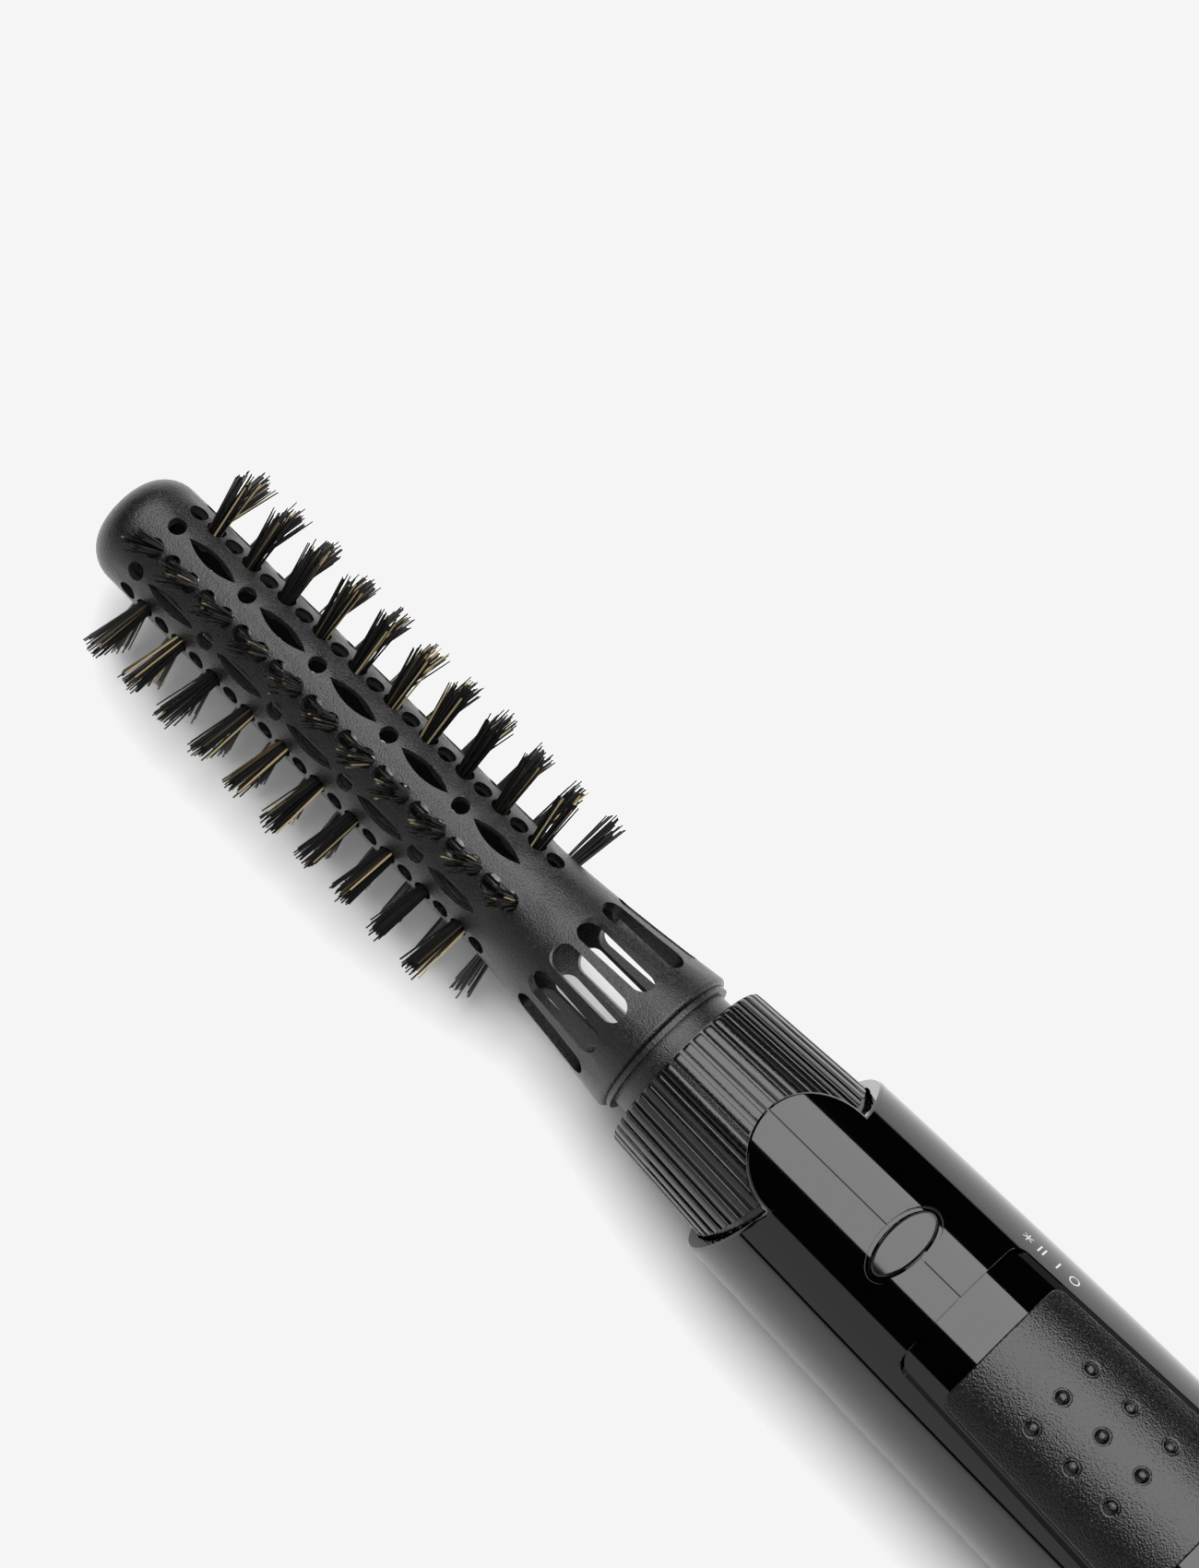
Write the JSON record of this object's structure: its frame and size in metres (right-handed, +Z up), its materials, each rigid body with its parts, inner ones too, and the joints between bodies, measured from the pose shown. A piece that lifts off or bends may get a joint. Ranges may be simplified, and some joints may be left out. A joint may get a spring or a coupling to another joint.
{
  "type": "hot air brush",
  "caption": "Hot air brush: vented round brush head with bristle tufts on a gloss handle with ribbed collar, release button, slide switch and cord swivel.",
  "frame": {"origin": "middle of the length, on the surface that the brush lies on, below the handle", "axes": "+X along the long axis from the brush tip to the cord swivel, +Z up with the switch knob on top, +Y to the right shell that carries the switch marks"},
  "size_m": [0.3022, 0.038, 0.0383],
  "materials": {
    "barrel_plastic": "fine grained matte",
    "bristle": "black nylon and tan boar bristle",
    "steel_wire": "drawn",
    "black_nylon": "moulded",
    "collar_plastic": "satin moulded",
    "gloss_black": "high gloss",
    "screw_steel": "zinc plated",
    "button_plastic": "satin gloss",
    "grained_knob": "leather grained",
    "switch_body": "moulded",
    "board_laminate": "solder mask",
    "diode_epoxy": "moulded",
    "mica": "pressed mica",
    "heating_wire": "oxidised nickel chrome",
    "fuse_metal": "bright",
    "motor_steel": "plated",
    "magnet": "sintered ferrite",
    "copper": "turned copper",
    "fan_plastic": "moulded",
    "swivel_plastic": "moulded"
  },
  "bodies": {
    "handle": {"left_shell": "gloss_black", "right_shell": "gloss_black", "ribbed_collar": "collar_plastic", "case_screws": "screw_steel", "latch_pin": "steel_wire", "slide_switch": "switch_body", "circuit_board": "board_laminate", "rectifier_diodes": "diode_epoxy", "heater_tube": "mica", "upright_mica_board": "mica", "level_mica_board": "mica", "heater_coil": "heating_wire", "thermostat": "steel_wire", "thermal_fuse": "fuse_metal", "air_funnel": "black_nylon", "motor_mount": "black_nylon", "motor_can": "motor_steel", "motor_end_cap": "black_nylon", "motor_magnets": "magnet", "inlet_screen": "black_nylon"},
    "brush_head": {"brush_barrel": "barrel_plastic", "brush_neck": "barrel_plastic", "anchor_wires": "steel_wire", "front_wire_carrier": "black_nylon", "rear_wire_carrier": "black_nylon", "tuft_row_1": "bristle", "tuft_row_2": "bristle", "tuft_row_3": "bristle", "tuft_row_4": "bristle", "tuft_row_5": "bristle", "tuft_row_6": "bristle"},
    "button": {"release_button": "button_plastic"},
    "latch": {"latch_lever": "black_nylon", "latch_spring": "steel_wire"},
    "knob": {"switch_knob": "grained_knob", "switch_carriage": "black_nylon"},
    "rotor": {"motor_shaft": "steel_wire", "fan": "fan_plastic", "armature": "motor_steel", "commutator": "copper"},
    "swivel": {"cord_swivel": "swivel_plastic"}
  },
  "joints": [
    {"name": "brush_head_release", "type": "slide", "parent": "handle", "child": "brush_head", "axis": [-1, 0, 0], "range_m": [0, 0.03]},
    {"name": "button_press", "type": "slide", "parent": "handle", "child": "button", "axis": [0, 0, -1], "range_m": [0, 0.001], "stiffness_N_per_m": 900, "springref_m": -0.001},
    {"name": "latch_tilt", "type": "hinge", "parent": "handle", "child": "latch", "pos_m": [-0.0081, 0, 0.0318], "axis": [0, 1, 0], "range_deg": [0, 6.2]},
    {"name": "switch_slide", "type": "slide", "parent": "handle", "child": "knob", "axis": [-1, 0, 0], "range_m": [0, 0.0072]},
    {"name": "motor_spin", "type": "hinge", "parent": "handle", "child": "rotor", "pos_m": [0.0789, 0, 0.0188], "axis": [1, 0, 0], "continuous": true},
    {"name": "cord_turn", "type": "hinge", "parent": "handle", "child": "swivel", "pos_m": [0.1389, 0, 0.0188], "axis": [1, 0, 0], "continuous": true}
  ],
  "couplings": [
    {"joint": "latch_tilt", "follows": "button_press", "rad_per_m": 105.5}
  ]
}
